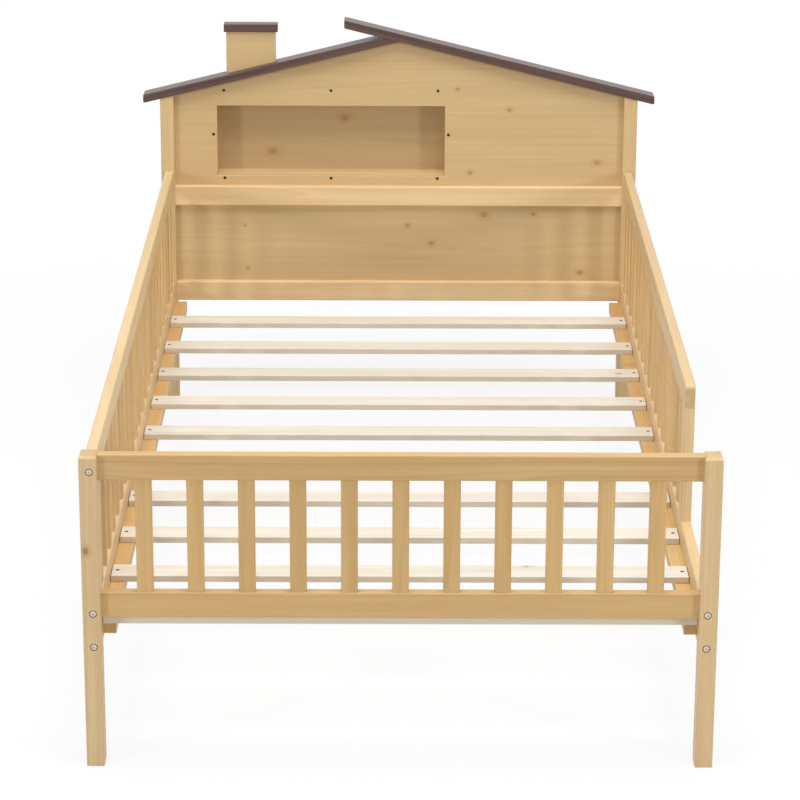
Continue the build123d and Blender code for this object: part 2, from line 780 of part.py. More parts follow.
# The nodes
nodes = {
    "foot_post_left": foot_post(-1),
    "foot_post_right": foot_post(1),
    "foot_top_rail": foot_rail(foot_top_rail_bottom, "foot_top"),
    "foot_bottom_rail": foot_rail(foot_bottom_rail_bottom, "foot_bottom"),
    "side_rail_left": side_rail(-1, left_stations),
    "side_rail_right": side_rail(1, right_stations),
    "slat_ledger_left": slat_ledger(-1),
    "slat_ledger_right": slat_ledger(1),
    "guard_top_rail_left": left_guard_top_rail(),
    "guard_top_rail_right": right_guard_top_rail(),
    "guard_end_post": right_guard_end_post(),
    "guard_spindles_left": guard_spindles(-1, left_stations),
    "guard_spindles_right": guard_spindles(1, right_stations),
    "head_post_left": head_post(-1),
    "head_post_right": head_post(1),
    "head_mid_rail": head_rail(
        head_mid_rail_bottom,
        "head_mid",
        [
            (head_mid_rail_bottom, head_mid_rail_bottom + panel_groove_depth),
            (head_mid_rail_top - panel_groove_depth, head_mid_rail_top),
        ],
    ),
    "head_bottom_rail": head_rail(
        head_bottom_rail_bottom,
        "head_bottom",
        [(head_bottom_rail_top - panel_groove_depth, head_bottom_rail_top)],
    ),
    "house_panel": house_panel(),
    "lower_panel": lower_panel(),
    "niche_back": niche_back(),
    "niche_bottom_board": niche_shelf((niche_bottom, window_sill)),
    "niche_top_board": niche_shelf((niche_ceiling, niche_top)),
    "niche_left_board": niche_side(-1),
    "niche_right_board": niche_side(1),
    "roof_board_left": roof_board_left(),
    "roof_board_right": roof_board_right(),
    "chimney_board": chimney_board(),
    "chimney_cap": chimney_cap(),
    "foot_bolts": all_bolts("foot"),
    "head_bolts": all_bolts("head"),
    "barrel_nuts": all_nuts(),
    "slat_screws": pins(wood_screw(slat_screw_length), all_slat_screws),
    "ledger_screws": pins(wood_screw(ledger_screw_length), ledger_screws(-1) + ledger_screws(1)),
    "niche_front_screws": pins(wood_screw(niche_screw_length), front_niche_screws),
    "niche_back_screws": pins(wood_screw(niche_back_screw_length), back_niche_screws),
    "frame_dowels": all_frame_dowels(),
    "roof_dowels": all_roof_dowels(),
    "chimney_dowels": pins(
        rod(dowel_diameter, 2 * chimney_dowel_depth), chimney_foot_dowels + chimney_cap_dowels
    ),
}
for number, x in enumerate(foot_stations, start=1):
    nodes[f"foot_spindle_{number:02d}"] = foot_spindle(x)
for number, y in enumerate(reversed(slat_stations), start=1):
    nodes[f"slat_{number:02d}"] = slat(y)

os.makedirs("parts", exist_ok=True)
for name, shape in nodes.items():
    export_step(Compound(children=shape) if isinstance(shape, list) else shape, f"parts/{name}.step")
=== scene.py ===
# %% [markdown]
# # A pine bed with a house for a headboard
#
# This lesson dresses a child's bed of pine boards. Its parts come from a CAD model, so posts,
# rails, spindles, slats and panels already have their true sizes and places, in metres. Blender
# adds what a drawing lacks: wood that looks grown and planed, a stained roof, plated bolts and
# real screw heads. We start by loading the bed and measuring it, because everything later is
# placed from its sizes.

# %% Load the bed and measure it
import math

import bpy
from mathutils import Matrix, Vector


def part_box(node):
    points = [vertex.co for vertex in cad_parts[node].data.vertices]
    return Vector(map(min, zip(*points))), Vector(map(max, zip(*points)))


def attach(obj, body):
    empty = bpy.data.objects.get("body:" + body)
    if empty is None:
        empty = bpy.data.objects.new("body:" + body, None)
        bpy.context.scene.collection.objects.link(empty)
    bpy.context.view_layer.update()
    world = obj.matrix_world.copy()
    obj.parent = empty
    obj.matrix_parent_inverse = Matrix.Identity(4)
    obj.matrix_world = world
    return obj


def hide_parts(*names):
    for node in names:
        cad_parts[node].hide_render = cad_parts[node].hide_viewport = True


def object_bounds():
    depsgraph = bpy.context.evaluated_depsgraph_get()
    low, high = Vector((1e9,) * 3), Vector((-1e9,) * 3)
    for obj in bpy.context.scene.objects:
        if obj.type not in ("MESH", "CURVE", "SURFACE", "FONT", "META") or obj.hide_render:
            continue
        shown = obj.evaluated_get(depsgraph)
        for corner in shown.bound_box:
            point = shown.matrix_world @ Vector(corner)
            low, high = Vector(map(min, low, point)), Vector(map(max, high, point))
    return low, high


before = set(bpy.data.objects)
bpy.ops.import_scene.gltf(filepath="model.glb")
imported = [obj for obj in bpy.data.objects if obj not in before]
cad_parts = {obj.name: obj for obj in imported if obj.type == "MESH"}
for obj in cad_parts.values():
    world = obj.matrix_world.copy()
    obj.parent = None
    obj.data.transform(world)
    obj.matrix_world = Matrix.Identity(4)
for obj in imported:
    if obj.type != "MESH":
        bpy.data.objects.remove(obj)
bed_low, bed_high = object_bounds()
print("pieces:", len(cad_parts), "| size in mm:", [round(1000 * v) for v in bed_high - bed_low])

# %% [markdown]
# ## The camera
#
# A product photographer stands well back with a long lens, so that upright posts stay nearly
# parallel. The camera here stands almost six metres in front of the bed's middle and looks down
# at it. A long lens needs a long distance; a short lens close up would show the same outline
# with the footboard far too large. The tiny turn and roll are those of a hand-set tripod.

# %% Place the camera
LENS = 139.7  # mm, on a sensor 36 mm wide
CAMERA_PLACE = Vector((-0.0211, -5.8205, 2.235))
CAMERA_TURN, CAMERA_TILT, CAMERA_ROLL = (math.radians(a) for a in (0.225, 18.21, 0.246))


def camera_axes(turn, tilt, roll):
    """Right, up and forward of a camera that looks along +Y, turned, tilted down and rolled."""
    forward = Vector((math.sin(turn) * math.cos(tilt), math.cos(turn) * math.cos(tilt), -math.sin(tilt)))
    level = forward.cross(Vector((0, 0, 1))).normalized()
    above = level.cross(forward)
    right = level * math.cos(roll) + above * math.sin(roll)
    return right, above * math.cos(roll) - level * math.sin(roll), forward


right, up, forward = camera_axes(CAMERA_TURN, CAMERA_TILT, CAMERA_ROLL)
camera = bpy.data.objects.new("studio_camera", bpy.data.cameras.new("studio_camera"))
camera.data.lens, camera.data.sensor_width, camera.data.clip_end = LENS, 36, 100
camera.matrix_world = Matrix.Translation(CAMERA_PLACE) @ Matrix((right, up, -forward)).transposed().to_4x4()
bpy.context.scene.collection.objects.link(camera)
bpy.context.scene.camera = camera
distance = (CAMERA_PLACE - (bed_low + bed_high) / 2).length
print("the camera stands", round(distance, 2), "m from the bed's middle")

# %% [markdown]
# ## Small helpers for node trees
#
# Materials and Geometry Nodes are both trees of nodes. Writing them in a script gets long, so a
# few helpers keep it short: they add a node and fill its inputs, do one sum, or open a group
# with named inputs and outputs. A group is a recipe that is made once and then used in many
# materials, each with values of its own.


# %% Helpers for node trees
def fill(tree, slot, value):
    """Gives an input a plain value, or links another node's output to it."""
    if isinstance(value, bpy.types.NodeSocket):
        tree.links.new(value, slot)
    else:
        slot.default_value = value


def add(tree, kind, inputs=(), **settings):
    """Adds a node, sets its options, and fills inputs by name or number."""
    node = tree.nodes.new(kind)
    for name, value in settings.items():
        setattr(node, name, value)
    for name, value in dict(inputs).items():
        fill(tree, node.inputs[name], value)
    return node


def sum_of(tree, operation, *values, clamp=False):
    """One Math node. Its values are numbers or outputs of other nodes."""
    return add(tree, "ShaderNodeMath", enumerate(values), operation=operation, use_clamp=clamp).outputs[0]


def scaled(tree, value, times, plus=0.0):
    """A value times one number, plus another."""
    return sum_of(tree, "MULTIPLY_ADD", value, times, plus)


def vector_sum(tree, operation, *values):
    """One Vector Math node."""
    return add(tree, "ShaderNodeVectorMath", enumerate(values), operation=operation).outputs[0]


def joined(tree, x, y, z):
    """Three values as one vector or colour."""
    return add(tree, "ShaderNodeCombineXYZ", {"X": x, "Y": y, "Z": z}).outputs[0]


def ramp(tree, value, low, high, out_low=0.0, out_high=1.0):
    """Turns the stretch low..high of a value smoothly into out_low..out_high."""
    inputs = {"Value": value, "From Min": low, "From Max": high, "To Min": out_low, "To Max": out_high}
    return add(tree, "ShaderNodeMapRange", inputs, interpolation_type="SMOOTHSTEP").outputs["Result"]


def blend_colours(tree, factor, first, second, blend_type="MIX"):
    """Mixes two colours by a factor."""
    node = add(tree, "ShaderNodeMix", data_type="RGBA", blend_type=blend_type)
    for slot, value in ((0, factor), (6, first), (7, second)):
        fill(tree, node.inputs[slot], value)
    return node.outputs[2]


def open_group(name, inputs, outputs, kind="ShaderNodeTree"):
    """A new group, with its inputs and its outputs to link from and to."""
    tree = bpy.data.node_groups.new(name, kind)
    for label, (socket, start) in inputs.items():
        made = tree.interface.new_socket(label, in_out="INPUT", socket_type="NodeSocket" + socket)
        if start is not None:
            made.default_value = start
    for label, socket in outputs.items():
        tree.interface.new_socket(label, in_out="OUTPUT", socket_type="NodeSocket" + socket)
    return tree, tree.nodes.new("NodeGroupInput").outputs, tree.nodes.new("NodeGroupOutput").inputs


def place_group(tree, group, inputs):
    """Uses a group inside another tree, and returns its outputs."""
    node = add(tree, "ShaderNodeGroup", node_tree=group)
    for name, value in inputs.items():
        fill(tree, node.inputs[name], value)
    return node.outputs


def colour(red, green, blue):
    """A colour as a paint program names it, from 0 to 255, as Blender's linear values."""
    shares = [value / 255 for value in (red, green, blue)]
    linear = [c / 12.92 if c <= 0.04045 else ((c + 0.055) / 1.055) ** 2.4 for c in shares]
    return (*linear, 1.0)


print("helpers are ready")

# %% [markdown]
# ## The studio
#
# The bed stands in a white studio: a pale floor that runs on as a backdrop, a large soft lamp
# overhead and a smaller one on each side of the camera. The side lamps reach into the niche
# from both sides, which leaves a darker strip at each end of it. The white background doesn't
# come from strong light, which would bleach the wood. The floor shows itself mostly as plain
# white to the camera and to reflections. Near the bed it keeps some of its shaded self, so the
# bed still has a shadow.

# %% Build the floor
FLOOR_SIZE = 60
FLOOR_DROP = 0.0003  # just under the feet, so that two faces never share a place
FLOOR_TONE = colour(212, 211, 209)
PAPER_WHITE = colour(250, 250, 250)
NEAR_BED, FAR_FROM_BED = 1.0, 2.6  # metres from the bed's middle
SHARE_NEAR_BED, SHARE_FAR = 0.84, 1.0  # how much of the floor is plain white there


def seen_directly(tree):
    """1 for what the camera, a reflection or glass sees, and 0 for bounced light."""
    path = add(tree, "ShaderNodeLightPath")
    seen = sum_of(tree, "MAXIMUM", path.outputs["Is Camera Ray"], path.outputs["Is Glossy Ray"])
    return sum_of(tree, "MAXIMUM", seen, path.outputs["Is Transmission Ray"])


floor_mesh = bpy.data.meshes.new("studio_floor")
half = FLOOR_SIZE / 2
corners = ((-half, -half), (half, -half), (half, half), (-half, half))
floor_mesh.from_pydata([(x, y, -FLOOR_DROP) for x, y in corners], [], [(0, 1, 2, 3)])
floor = bpy.data.objects.new("studio_floor", floor_mesh)
bpy.context.scene.collection.objects.link(floor)

paper = bpy.data.materials.new("studio_paper")
paper.use_nodes = True
tree = paper.node_tree
tree.nodes.clear()
seen = seen_directly(tree)
paper_colour = blend_colours(tree, seen, FLOOR_TONE, PAPER_WHITE)
matt = add(tree, "ShaderNodeBsdfDiffuse", {"Color": paper_colour})
white = add(tree, "ShaderNodeEmission", {"Color": (1, 1, 1, 1), "Strength": 1.0})
where = add(tree, "ShaderNodeTexCoord").outputs["Object"]
from_bed = add(tree, "ShaderNodeVectorMath", {0: where}, operation="LENGTH").outputs["Value"]
share = ramp(tree, from_bed, NEAR_BED, FAR_FROM_BED, SHARE_NEAR_BED, SHARE_FAR)
share = sum_of(tree, "MULTIPLY", seen, share)
mixed = add(tree, "ShaderNodeMixShader", {0: share, 1: matt.outputs[0], 2: white.outputs[0]})
add(tree, "ShaderNodeOutputMaterial", {"Surface": mixed.outputs[0]})
floor_mesh.materials.append(paper)
print("floor:", FLOOR_SIZE, "m square")

# %% Hang the lamps
WORLD_LIGHT = 0.34
LAMPS = {  # place, aim, size in metres, watts
    "top_softbox": ((0.0, -0.9, 4.6), (0.0, 0.1, 0.3), 3.0, 172),
    "left_softbox": ((-4.4, -4.0, 1.7), (0.0, 0.2, 0.45), 0.7, 78),
    "right_softbox": ((4.4, -4.0, 1.7), (0.0, 0.2, 0.45), 0.7, 78),
}

world = bpy.data.worlds.new("studio_world")
bpy.context.scene.world = world
world.use_nodes = True
tree = world.node_tree
tree.nodes.clear()
strength = add(tree, "ShaderNodeMapRange", {"Value": seen_directly(tree), "To Min": WORLD_LIGHT, "To Max": 1.0})
sky = add(tree, "ShaderNodeBackground", {"Color": (1, 1, 1, 1), "Strength": strength.outputs["Result"]})
add(tree, "ShaderNodeOutputWorld", {"Surface": sky.outputs[0]})

for name, (place, aim, size, watts) in LAMPS.items():
    data = bpy.data.lights.new(name, "AREA")
    data.shape, data.size, data.energy = "SQUARE", size, watts
    lamp = bpy.data.objects.new(name, data)
    lamp.location = place
    lamp.rotation_euler = (Vector(aim) - Vector(place)).to_track_quat("-Z", "Y").to_euler()
    bpy.context.scene.collection.objects.link(lamp)
print("lamps:", ", ".join(LAMPS))

bpy.context.scene.view_settings.view_transform = "Standard"

# %% [markdown]
# ## How pine looks, and how to make it
#
# Pine grows one ring a year: a wide pale band in spring and a thin dark one in late summer. A
# board cut along the trunk shows these rings as long lines, and its ends show them as arcs. So
# the grain isn't painted on each face. It is worked out in space, as rings round an invisible
# heart that runs along the board, and every face simply shows where it cuts them. In all these
# groups X runs along the grain.

# %% A group for the grain
DRIFT_CYCLES, STREAK_CYCLES, FIBRE_CYCLES = (1.3, 7, 7), (2.2, 55, 55), (28, 1400, 1400)  # per metre
UNEVEN_EVERY, UNEVEN_BY = 0.31, 2.2  # how soon wide rings turn narrow, and by how many rings
LATE_WOOD, YEAR_END = (0.35, 0.9), (0.93, 1.0)  # parts of one year's ring


def stretched_noise(tree, where, cycles, detail, roughness):
    """Noise in long lines, as in wood. cycles says how fine it is along X, Y and Z."""
    inputs = {"Vector": vector_sum(tree, "MULTIPLY", where, cycles), "Scale": 1.0}
    return add(tree, "ShaderNodeTexNoise", {**inputs, "Detail": detail, "Roughness": roughness}).outputs


grain_group, given, result = open_group(
    "pine grain",
    {"Vector": ("Vector", None), "Ring Width": ("Float", 0.004), "Wander": ("Float", 0.012)},
    {"Rings": "Float", "Streaks": "Float", "Fibres": "Float", "Patches": "Float"},
)
tree = grain_group
drift = stretched_noise(tree, given["Vector"], DRIFT_CYCLES, 2.0, 0.45)
fill(tree, result["Patches"], ramp(tree, drift[0], 0.25, 0.75))
drift = vector_sum(tree, "SUBTRACT", drift["Color"], (0.5, 0.5, 0.5))
drift = add(tree, "ShaderNodeVectorMath", {0: drift, "Scale": given["Wander"]}, operation="SCALE").outputs[0]
bent = vector_sum(tree, "ADD", given["Vector"], drift)
parts = add(tree, "ShaderNodeSeparateXYZ", {0: bent}).outputs
across = sum_of(tree, "ADD", sum_of(tree, "POWER", parts["Y"], 2), sum_of(tree, "POWER", parts["Z"], 2))
years = sum_of(tree, "DIVIDE", sum_of(tree, "SQRT", across), given["Ring Width"])
uneven = add(tree, "ShaderNodeTexNoise", {
    "W": sum_of(tree, "MULTIPLY", years, UNEVEN_EVERY), "Detail": 1.0}, noise_dimensions="1D").outputs[0]
years = sum_of(tree, "ADD", years, sum_of(tree, "MULTIPLY", uneven, UNEVEN_BY))
part_of_year = sum_of(tree, "FRACT", years)
late = ramp(tree, part_of_year, *LATE_WOOD)
year_end = ramp(tree, part_of_year, *YEAR_END, 1.0, 0.0)
fill(tree, result["Rings"], sum_of(tree, "MULTIPLY", late, year_end))
streaks = stretched_noise(tree, bent, STREAK_CYCLES, 3.0, 0.55)[0]
fill(tree, result["Streaks"], ramp(tree, streaks, 0.3, 0.7))
fill(tree, result["Fibres"], stretched_noise(tree, bent, FIBRE_CYCLES, 2.0, 0.6)[0])
print("group:", grain_group.name)

# %% [markdown]
# ## Knots
#
# A knot is where a branch left the trunk. It shows as a small brown oval with its own rings, a
# reddish rim, and grain that swerves round it. One group draws one knot: it darkens what is
# near its centre and squeezes the coordinates there, so the grain group that comes after it
# draws lines that part and close again. A second group scatters knots by chance, because most
# rails and posts only need one or two somewhere.

# %% A group for one knot
KNOT_STRETCH = 1.3  # longer along the grain than across it
KNOT_STRAY = 0.5  # how far its outline strays from an oval
KNOT_RINGS, KNOT_RING_DEPTH = 17.0, 0.14
HEART_ENDS, RIM_ENDS, SWERVE_ENDS = (0.55, 1.05), (0.7, 2.6), (0.6, 3.2)  # in radii from its centre
SWERVE = 0.8
SMALLEST_KNOT = 0.0008  # a smaller radius means no knot

knot_group, given, result = open_group(
    "knot",
    {"Vector": ("Vector", None), "Centre": ("Vector", None), "Radius": ("Float", 0.006),
     "Heart": ("Float", 0.0), "Rim": ("Float", 0.0)},
    {"Vector": "Vector", "Heart": "Float", "Rim": "Float"},
)
tree = knot_group
away = vector_sum(tree, "SUBTRACT", given["Vector"], given["Centre"])
jitter = add(tree, "ShaderNodeTexNoise", {"Vector": away, "Scale": 140.0, "Detail": 1.0}).outputs[0]
parts = add(tree, "ShaderNodeSeparateXYZ", {0: away}).outputs
along = sum_of(tree, "POWER", sum_of(tree, "DIVIDE", parts["X"], KNOT_STRETCH), 2)
reach = sum_of(tree, "SQRT", sum_of(tree, "ADD", along, sum_of(tree, "POWER", parts["Y"], 2)))
ratio = sum_of(tree, "DIVIDE", reach, sum_of(tree, "MAXIMUM", given["Radius"], 0.00001))
stray = sum_of(tree, "MULTIPLY", sum_of(tree, "SUBTRACT", jitter, 0.5), KNOT_STRAY)
ratio = sum_of(tree, "ADD", ratio, stray)
present = sum_of(tree, "GREATER_THAN", given["Radius"], SMALLEST_KNOT)


def fade(ends):
    """1 at the knot's centre and 0 well away from it, and 0 everywhere where there is no knot."""
    return sum_of(tree, "MULTIPLY", ramp(tree, ratio, *ends, 1.0, 0.0), present)


waves = sum_of(tree, "SINE", sum_of(tree, "MULTIPLY", ratio, KNOT_RINGS))
heart = sum_of(tree, "MULTIPLY", fade(HEART_ENDS), scaled(tree, waves, KNOT_RING_DEPTH, 1 - KNOT_RING_DEPTH))
fill(tree, result["Heart"], sum_of(tree, "MAXIMUM", given["Heart"], heart))
fill(tree, result["Rim"], sum_of(tree, "MAXIMUM", given["Rim"], fade(RIM_ENDS)))
pull = sum_of(tree, "MULTIPLY", parts["Y"], sum_of(tree, "MULTIPLY", fade(SWERVE_ENDS), SWERVE))
fill(tree, result["Vector"], vector_sum(tree, "SUBTRACT", given["Vector"], joined(tree, 0.0, pull, 0.0)))
print("group:", knot_group.name)

# %% A group that scatters knots
SMALLEST_SHARE = 0.4  # the smallest knot's part of the largest

scatter_group, given, result = open_group(
    "scattered knots",
    {"Vector": ("Vector", None), "Spacing Along": ("Float", 0.5), "Spacing Across": ("Float", 0.09),
     "Largest": ("Float", 0.007), "Share": ("Float", 0.4)},
    {"Vector": "Vector", "Heart": "Float", "Rim": "Float"},
)
tree = scatter_group
cell = joined(tree, given["Spacing Along"], given["Spacing Across"], 1.0)
in_cells = vector_sum(tree, "DIVIDE", given["Vector"], cell)
cells = add(tree, "ShaderNodeTexVoronoi", {"Vector": in_cells, "Scale": 1.0}, voronoi_dimensions="2D")
centre = vector_sum(tree, "MULTIPLY", cells.outputs["Position"], cell)
chance = add(tree, "ShaderNodeSeparateColor", {0: cells.outputs["Color"]}).outputs
grown = sum_of(tree, "LESS_THAN", chance["Red"], given["Share"])
share = scaled(tree, chance["Green"], 1 - SMALLEST_SHARE, SMALLEST_SHARE)
size = sum_of(tree, "MULTIPLY", share, given["Largest"])
knot = place_group(tree, knot_group, {
    "Vector": given["Vector"], "Centre": centre, "Radius": sum_of(tree, "MULTIPLY", size, grown)})
for label in ("Vector", "Heart", "Rim"):
    fill(tree, result[label], knot[label])
print("group:", scatter_group.name)

# %% [markdown]
# ## Board by board, end grain and soft edges
#
# No two boards come from the same place in a tree, so each needs grain and a tone of its own.
# For a row of equal spindles or slats in one CAD node, a group finds out which of them a point
# is in, from its place and the spacing of the row, and gives each a number by chance. Another
# group finds the ends of a board, which drink more lacquer and look darker. A third finds the
# rounded edges, where a hand and a sanding block leave the wood a little paler.

# %% Groups for variation, ends and edges
BOARD_JUMP = (9.0, 0.06, 0.04)  # how far apart in the tree two neighbours may have grown, in metres
END_FACING = (0.75, 0.95)  # how squarely a face looks along the board, from no end grain to all
EDGE_FACING = (0.995, 0.86)  # how much a rounded edge turns the face, from none to all

board_group, given, result = open_group(
    "board by board",
    {"Vector": ("Vector", None), "First": ("Vector", None), "Pitch": ("Vector", (10.0, 10.0, 10.0)),
     "Seed": ("Float", 0.0)},
    {"Vector": "Vector", "Tone": "Float"},
)
tree = board_group
from_first = vector_sum(tree, "SUBTRACT", given["Vector"], given["First"])
boards_on = vector_sum(tree, "ADD", vector_sum(tree, "DIVIDE", from_first, given["Pitch"]), (0.5, 0.5, 0.5))
number = vector_sum(tree, "FLOOR", boards_on)
chance = add(tree, "ShaderNodeTexWhiteNoise", {"Vector": number, "W": given["Seed"]}, noise_dimensions="4D")
local = vector_sum(tree, "SUBTRACT", from_first, vector_sum(tree, "MULTIPLY", number, given["Pitch"]))
jump = vector_sum(tree, "SUBTRACT", chance.outputs["Color"], (0.5, 0.5, 0.5))
jump = vector_sum(tree, "MULTIPLY", jump, BOARD_JUMP)
fill(tree, result["Vector"], vector_sum(tree, "ADD", local, jump))
fill(tree, result["Tone"], chance.outputs["Value"])

end_group, given, result = open_group("end grain", {"Along": ("Vector", (1.0, 0.0, 0.0))}, {"End": "Float"})
tree = end_group
facing = add(tree, "ShaderNodeVectorMath", operation="DOT_PRODUCT")
fill(tree, facing.inputs[0], add(tree, "ShaderNodeNewGeometry").outputs["True Normal"])
fill(tree, facing.inputs[1], given["Along"])
fill(tree, result["End"], ramp(tree, sum_of(tree, "ABSOLUTE", facing.outputs["Value"]), *END_FACING))

edge_group, given, result = open_group("soft edges", {"Radius": ("Float", 0.004)}, {"Edge": "Float"})
tree = edge_group
rounded = add(tree, "ShaderNodeBevel", {"Radius": given["Radius"]}, samples=4)
alike = add(tree, "ShaderNodeVectorMath", operation="DOT_PRODUCT")
fill(tree, alike.inputs[0], rounded.outputs[0])
fill(tree, alike.inputs[1], add(tree, "ShaderNodeNewGeometry").outputs["True Normal"])
fill(tree, result["Edge"], ramp(tree, alike.outputs["Value"], *EDGE_FACING))
print("groups:", board_group.name, "|", end_group.name, "|", edge_group.name)

# %% [markdown]
# ## The lacquered pine
#
# All the frame is clear-lacquered pine, honey-coloured and satin, not glossy. One function
# makes a wood material for a board that runs along X, Y or Z. A Mapping node turns the
# coordinates so that X runs along the grain, the knots bend them, and the grain group draws
# the rings. Colour, roughness and a faint relief all come from the same pattern, because on
# real wood the dark late rings are also the harder and smoother ones.

# %% A function for wood
EDGE_RADIUS = 0.004
SEED_ALONG, SEED_ASIDE = 7.31, 0.021  # how far each seed moves through the tree, in metres
FIBRE_CONTRAST, PATCH_SHARE, ENDS_DARKER, EDGES_PALER = 0.16, 0.55, 0.16, 0.07
RINGS_SMOOTHER, FIBRES_ROUGHER, ENDS_ROUGHER = 0.07, 0.08, 0.2
RING_RELIEF, FIBRE_RELIEF, RELIEF_STRENGTH = 0.6, 0.5, 0.7
NO_PITCH = 10.0  # a spacing that no board reaches
TURNS = {  # rows: along the grain, across the face, through the board
    "x upright": Matrix(((1, 0, 0), (0, 0, 1), (0, -1, 0))),
    "x flat": Matrix(((1, 0, 0), (0, 1, 0), (0, 0, 1))),
    "y upright": Matrix(((0, 1, 0), (0, 0, 1), (1, 0, 0))),
    "z facing": Matrix(((0, 0, 1), (1, 0, 0), (0, 1, 0))),
    "z sideways": Matrix(((0, 0, 1), (0, 1, 0), (-1, 0, 0))),
}
PINE = {
    "pale": colour(219, 185, 129), "dark": colour(186, 142, 82), "warm": colour(209, 168, 110),
    "knot": colour(126, 84, 48), "rim": colour(178, 128, 74), "rings": 0.34, "streaks": 0.42, "tones": 0.14,
    "knots": 0.6, "rims": 0.4, "side_shade": 0.0, "rough": 0.46, "shine": 0.4, "relief": 0.0001,
}
# A paler copy of the pine: painted light on faces that catch more of the lamps, such as the niche's sill, the
# side rails and the head's rails. The foot posts and the guard's rails share it.
LIT_PINE = {
    **PINE, "pale": colour(229, 202, 156), "dark": colour(200, 162, 110), "warm": colour(220, 187, 138)}
GLUED = {**PINE, "pale": colour(209, 182, 135), "dark": colour(179, 141, 89), "warm": colour(202, 168, 118),
         "rings": 0.16, "streaks": 0.22, "knots": 0.4, "rims": 0.3}
# A darker copy of the panels' finish: painted shade for the niche's back, deep in its recess.
SHADED_GLUED = {**GLUED, "pale": colour(202, 176, 130), "dark": colour(169, 135, 87), "warm": colour(189, 155, 109)}


def wood(name, turn, first, seed=0.0, pitch=(0, 0, 0), knots=(), scattered=0.2, finish=PINE,
         heart_depth=0.06, ring=0.0046, lean=0.0):
    """A wood material. turn is one of TURNS, lean how far a sloping board is turned from it, first
    the middle of the first board, pitch the spacing of a row of equal boards, and knots a list of
    (place in the frame, radius), all in metres."""
    made = bpy.data.materials.new(name)
    made.use_nodes = True
    tree = made.node_tree
    shader = tree.nodes["Principled BSDF"]
    matrix = TURNS[turn] @ Matrix.Rotation(lean, 3, "Y")
    where = add(tree, "ShaderNodeTexCoord").outputs["Object"]
    turned = add(tree, "ShaderNodeMapping", {"Vector": where, "Rotation": matrix.to_euler()}).outputs[0]
    heart, rim = 0.0, 0.0
    for place, radius in knots:
        one = place_group(tree, knot_group, {
            "Vector": turned, "Centre": matrix @ Vector(place), "Radius": radius, "Heart": heart, "Rim": rim})
        turned, heart, rim = one["Vector"], one["Heart"], one["Rim"]
    steps = [abs(v) or NO_PITCH for v in matrix @ Vector(pitch)]
    board = place_group(tree, board_group, {
        "Vector": turned, "First": matrix @ Vector(first), "Pitch": steps, "Seed": seed})
    spread = place_group(tree, scatter_group, {"Vector": board["Vector"], "Share": scattered})
    from_heart = (SEED_ALONG * seed, SEED_ASIDE * math.sin(5 * seed), heart_depth)
    from_heart = vector_sum(tree, "ADD", spread["Vector"], from_heart)
    grain = place_group(tree, grain_group, {"Vector": from_heart, "Ring Width": ring})
    heart = sum_of(tree, "MAXIMUM", heart, spread["Heart"])
    rim = sum_of(tree, "MAXIMUM", rim, spread["Rim"])
    end = place_group(tree, end_group, {"Along": matrix[0]})["End"]
    # Faces that look across the board, such as a slat's front and back, masked for painted shade on those
    # sides.
    side_shade = place_group(tree, end_group, {"Along": matrix[1]})["End"]
    edge = place_group(tree, edge_group, {"Radius": EDGE_RADIUS})["Edge"]

    planed = finish["pale"]
    # The last layer darkens the board's sides as painted shade, as far as a finish asks for it.
    for mask, amount, tint in (
            (grain["Rings"], finish["rings"], "dark"), (grain["Streaks"], finish["streaks"], "dark"),
            (grain["Patches"], PATCH_SHARE, "warm"), (side_shade, finish["side_shade"], "dark")):
        planed = blend_colours(tree, sum_of(tree, "MULTIPLY", mask, amount), planed, finish[tint])
    fibre = scaled(tree, grain["Fibres"], FIBRE_CONTRAST, 1 - FIBRE_CONTRAST / 2)
    tone = scaled(tree, board["Tone"], finish["tones"], 1 - finish["tones"] / 2)
    shade = sum_of(tree, "MULTIPLY", fibre, tone)
    shade = sum_of(tree, "MULTIPLY", shade, scaled(tree, end, -ENDS_DARKER, 1.0))
    shade = sum_of(tree, "MULTIPLY", shade, scaled(tree, edge, EDGES_PALER, 1.0))
    planed = blend_colours(tree, 1.0, planed, joined(tree, shade, shade, shade), "MULTIPLY")
    knotty = blend_colours(tree, sum_of(tree, "MULTIPLY", rim, finish["rims"]), planed, finish["rim"])
    knotty = blend_colours(tree, sum_of(tree, "MULTIPLY", heart, finish["knots"]), knotty, finish["knot"])
    fill(tree, shader.inputs["Base Color"], knotty)

    rough = scaled(tree, grain["Rings"], -RINGS_SMOOTHER, finish["rough"])
    rough = scaled(tree, grain["Fibres"], FIBRES_ROUGHER, rough)
    fill(tree, shader.inputs["Roughness"], sum_of(tree, "MULTIPLY_ADD", end, ENDS_ROUGHER, rough, clamp=True))
    height = scaled(tree, grain["Rings"], RING_RELIEF, sum_of(tree, "MULTIPLY", grain["Fibres"], FIBRE_RELIEF))
    relief = {"Height": height, "Distance": finish["relief"], "Strength": RELIEF_STRENGTH}
    fill(tree, shader.inputs["Normal"], add(tree, "ShaderNodeBump", relief).outputs[0])
    shader.inputs["Specular IOR Level"].default_value = finish["shine"]
    return made


def dress(material, *names):
    """Gives CAD nodes this material."""
    for name in names:
        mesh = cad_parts[name].data
        mesh.materials.clear()
        mesh.materials.append(material)


print("board directions:", ", ".join(TURNS))

# %% [markdown]
# ## Dressing the frame
#
# Each board gets a material of its own with its own seed, so no two show the same grain. The
# turn says which way the tree runs in it: the rails lie along the bed or across it, the posts
# and spindles stand. Boards in a row share one material, which tells them apart by their
# spacing.

# %% Posts and rails
def middle_of(name):
    """The middle of a CAD node."""
    low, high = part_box(name)
    return (low + high) / 2


def dress_each(names, prefix, turn, seed, **settings):
    """Gives each node a wood material of its own."""
    for number, name in enumerate(names):
        dress(wood(prefix + name, turn, middle_of(name), seed=seed + 1.7 * number, **settings), name)
    print(prefix + "...:", ", ".join(names))


